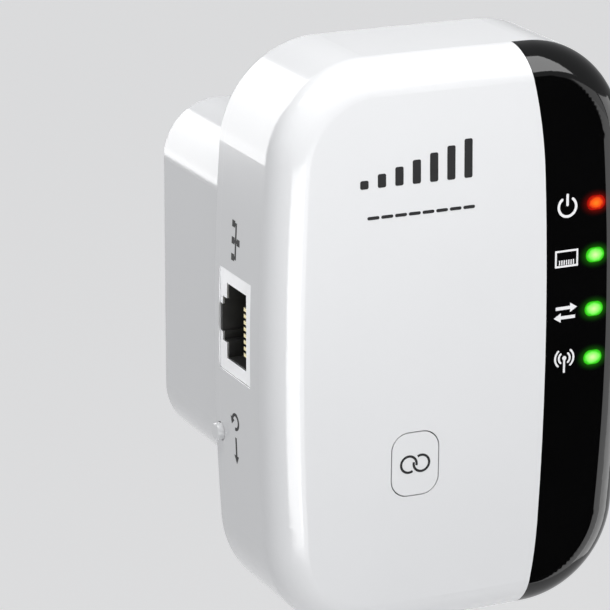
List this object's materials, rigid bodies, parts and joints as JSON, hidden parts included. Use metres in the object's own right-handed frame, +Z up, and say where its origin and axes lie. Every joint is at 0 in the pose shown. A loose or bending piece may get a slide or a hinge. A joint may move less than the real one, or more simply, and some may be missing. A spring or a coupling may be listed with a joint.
{
  "type": "wifi range extender",
  "caption": "Plug-in wireless range extender: bowed white case with a black light panel, pairing and reset buttons, a side network socket and a rear mains plug block.",
  "frame": {"origin": "centre of the plug block's rear face, the plane that rests on the wall socket, midway between the two pins", "axes": "+Y out of the back, along the pins into the wall; +X to the right seen from the front; +Z up, along the tall side"},
  "size_m": [0.0617, 0.067, 0.09],
  "materials": {
    "white_shell": "glossy injection-moulded plastic",
    "plug_white": "fine spark-eroded texture",
    "black_panel": "piano-black gloss",
    "button_white": "satin gloss",
    "plunger_white": "matte",
    "black_moulding": "matte",
    "plated_steel": "tin plated",
    "gold_contact": "gold flash",
    "board_green": "solder mask",
    "board_tan": "bare paper laminate",
    "clear_film": "translucent film",
    "chip_black": "moulded epoxy",
    "header_white": "nylon",
    "ferrite_grey": "sintered",
    "tape_yellow": "polyester tape",
    "capacitor_sleeve": "shrink sleeve",
    "can_aluminium": "drawn can",
    "fuse_green": "cement coat",
    "disc_blue": "epoxy dip",
    "pin_nickel": "nickel plated brass",
    "sleeve_black": "moulded sleeve",
    "red_light": "lit lens",
    "green_light": "lit lens",
    "led_clear": "clear epoxy",
    "screw_steel": "zinc plated",
    "lead_blue": "PVC",
    "lead_red": "PVC",
    "lead_black": "PVC"
  },
  "bodies": {
    "case": {"ac_leads": "lead_blue", "antenna_leads": "lead_black", "antenna_left": "board_green", "antenna_right": "board_green", "board_capacitors": "can_aluminium", "bridge_rectifier": "chip_black", "case_screws": "screw_steel", "crystal": "plated_steel", "dc_header": "header_white", "dc_leads": "lead_red", "flash_chip": "chip_black", "front_cover": "white_shell", "fuse_resistor": "fuse_green", "input_capacitors": "capacitor_sleeve", "insulation_sheet": "clear_film", "lan_contacts": "gold_contact", "lan_jack_insert": "black_moulding", "lan_jack_shield": "plated_steel", "lan_transformer": "chip_black", "main_board": "board_green", "main_board_screws": "screw_steel", "mains_pins": "pin_nickel", "memory_chip": "chip_black", "output_capacitor": "capacitor_sleeve", "output_diode": "chip_black", "pin_sleeves": "sleeve_black", "plug_face": "plug_white", "plug_face_screws": "screw_steel", "power_board": "board_tan", "power_board_screws": "screw_steel", "power_inductors": "ferrite_grey", "power_light_pipe": "red_light", "processor_chip": "chip_black", "radio_chip": "chip_black", "radio_shield": "plated_steel", "rear_cover": "white_shell", "reset_switch_body": "black_moulding", "safety_capacitor": "disc_blue", "side_panel": "black_panel", "status_leds": "led_clear", "status_light_pipes": "green_light", "supply_chip": "chip_black", "transformer_bobbin": "black_moulding", "transformer_core": "ferrite_grey", "transformer_winding": "tape_yellow", "wps_switch_body": "black_moulding"},
    "wps_button": {"wps_button": "button_white"},
    "wps_plunger": {"wps_switch_plunger": "plunger_white"},
    "reset_button": {"reset_button": "button_white"},
    "reset_plunger": {"reset_switch_plunger": "plunger_white"}
  },
  "joints": [
    {"name": "wps_press", "type": "slide", "parent": "case", "child": "wps_button", "axis": [0, 1, 0], "range_m": [0, 0.0005], "stiffness_N_per_m": 800},
    {"name": "wps_switch_press", "type": "slide", "parent": "case", "child": "wps_plunger", "axis": [0, 1, 0], "range_m": [0, 0.0005]},
    {"name": "reset_press", "type": "slide", "parent": "case", "child": "reset_button", "axis": [1, 0, 0], "range_m": [0, 0.0005], "stiffness_N_per_m": 800},
    {"name": "reset_switch_press", "type": "slide", "parent": "case", "child": "reset_plunger", "axis": [1, 0, 0], "range_m": [0, 0.0005]}
  ],
  "couplings": [
    {"joint": "wps_switch_press", "follows": "wps_press", "ratio": 1},
    {"joint": "reset_switch_press", "follows": "reset_press", "ratio": 1}
  ]
}
